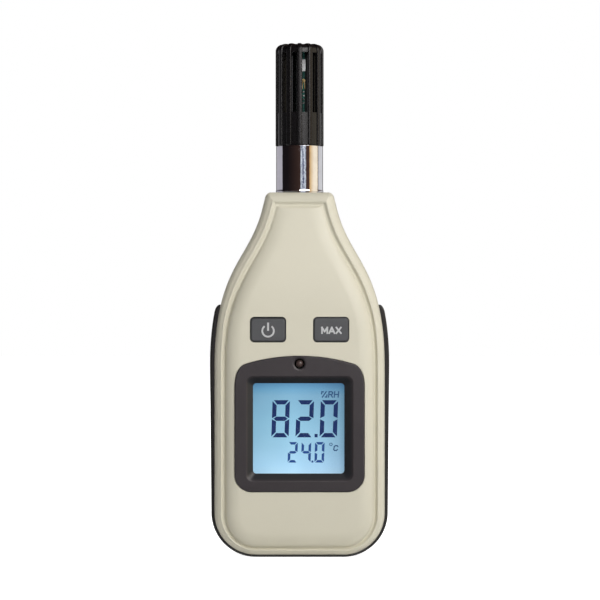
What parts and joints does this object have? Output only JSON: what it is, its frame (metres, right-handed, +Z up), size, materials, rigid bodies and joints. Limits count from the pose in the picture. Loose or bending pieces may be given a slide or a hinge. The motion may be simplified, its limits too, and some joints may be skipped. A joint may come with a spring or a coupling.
{
  "type": "digital thermo-hygrometer",
  "caption": "Handheld digital thermo-hygrometer: cream two-shell case with black grip, backlit display, rubber keys, chrome probe and slotted sensor guard.",
  "frame": {"origin": "middle of the foot, on the surface that the meter stands on", "axes": "+Z up along the probe, -Y out of the display, +X to the right of the display as it is read"},
  "size_m": [0.0678, 0.033, 0.1946],
  "materials": {
    "cream_plastic": "fine moulded texture",
    "black_rubber": "matte",
    "charcoal_plastic": "fine moulded texture",
    "clear_window": "clear",
    "display_blue": "backlit",
    "white_plastic": "moulded",
    "light_guide": "clear edge-lit",
    "strip_rubber": "matte",
    "board_green": "solder mask",
    "black_plastic": "moulded",
    "capacitor_sleeve": "sleeve",
    "bright_metal": "bright",
    "key_rubber": "matte",
    "carbon": "matte",
    "smoked_lens": "polished",
    "battery_jacket": "satin",
    "red_wire": "insulation",
    "black_wire": "insulation",
    "chrome": "polished",
    "board_teal": "solder mask",
    "white_element": "ceramic",
    "tan_bead": "epoxy",
    "grey_ribbon": "insulation",
    "guard_plastic": "fine moulded texture",
    "steel_screw": "zinc plated"
  },
  "bodies": {
    "meter": {"front_cover": "cream_plastic", "rear_cover": "cream_plastic", "grip_band": "black_rubber", "display_frame": "charcoal_plastic", "display_window": "clear_window", "display_glass": "display_blue", "display_holder": "white_plastic", "backlight_panel": "light_guide", "contact_strips": "strip_rubber", "main_board": "board_green", "microcontroller": "black_plastic", "board_capacitors": "capacitor_sleeve", "quartz_crystal": "bright_metal", "voltage_regulator": "black_plastic", "keypad_mat": "key_rubber", "indicator_lamp": "smoked_lens", "battery": "battery_jacket", "battery_snap": "black_plastic", "red_lead": "red_wire", "black_lead": "black_wire", "probe_tube": "chrome", "probe_bush": "black_plastic", "sensor_holder": "black_plastic", "sensor_board": "board_teal", "humidity_sensor": "white_element", "temperature_sensor": "tan_bead", "sensor_cable": "grey_ribbon", "sensor_plug": "white_plastic", "case_screws": "steel_screw", "board_screws": "steel_screw"},
    "power_key": {"power_key": "key_rubber", "power_key_pill": "carbon"},
    "max_key": {"max_key": "key_rubber", "max_key_pill": "carbon"},
    "battery_door": {"battery_door": "cream_plastic"},
    "sensor_guard": {"sensor_guard": "guard_plastic"}
  },
  "joints": [
    {"name": "power_key_press", "type": "slide", "parent": "meter", "child": "power_key", "axis": [0, 1, 0], "range_m": [0, 0.0008], "stiffness_N_per_m": 1200},
    {"name": "max_key_press", "type": "slide", "parent": "meter", "child": "max_key", "axis": [0, 1, 0], "range_m": [0, 0.0008], "stiffness_N_per_m": 1200},
    {"name": "battery_door_hinge", "type": "hinge", "parent": "meter", "child": "battery_door", "pos_m": [0, 0.0165, 0.0088], "axis": [-1, 0, 0], "range_deg": [0, 60]},
    {"name": "sensor_guard_pull", "type": "slide", "parent": "meter", "child": "sensor_guard", "axis": [0, 0, 1], "range_m": [0, 0.042]}
  ]
}
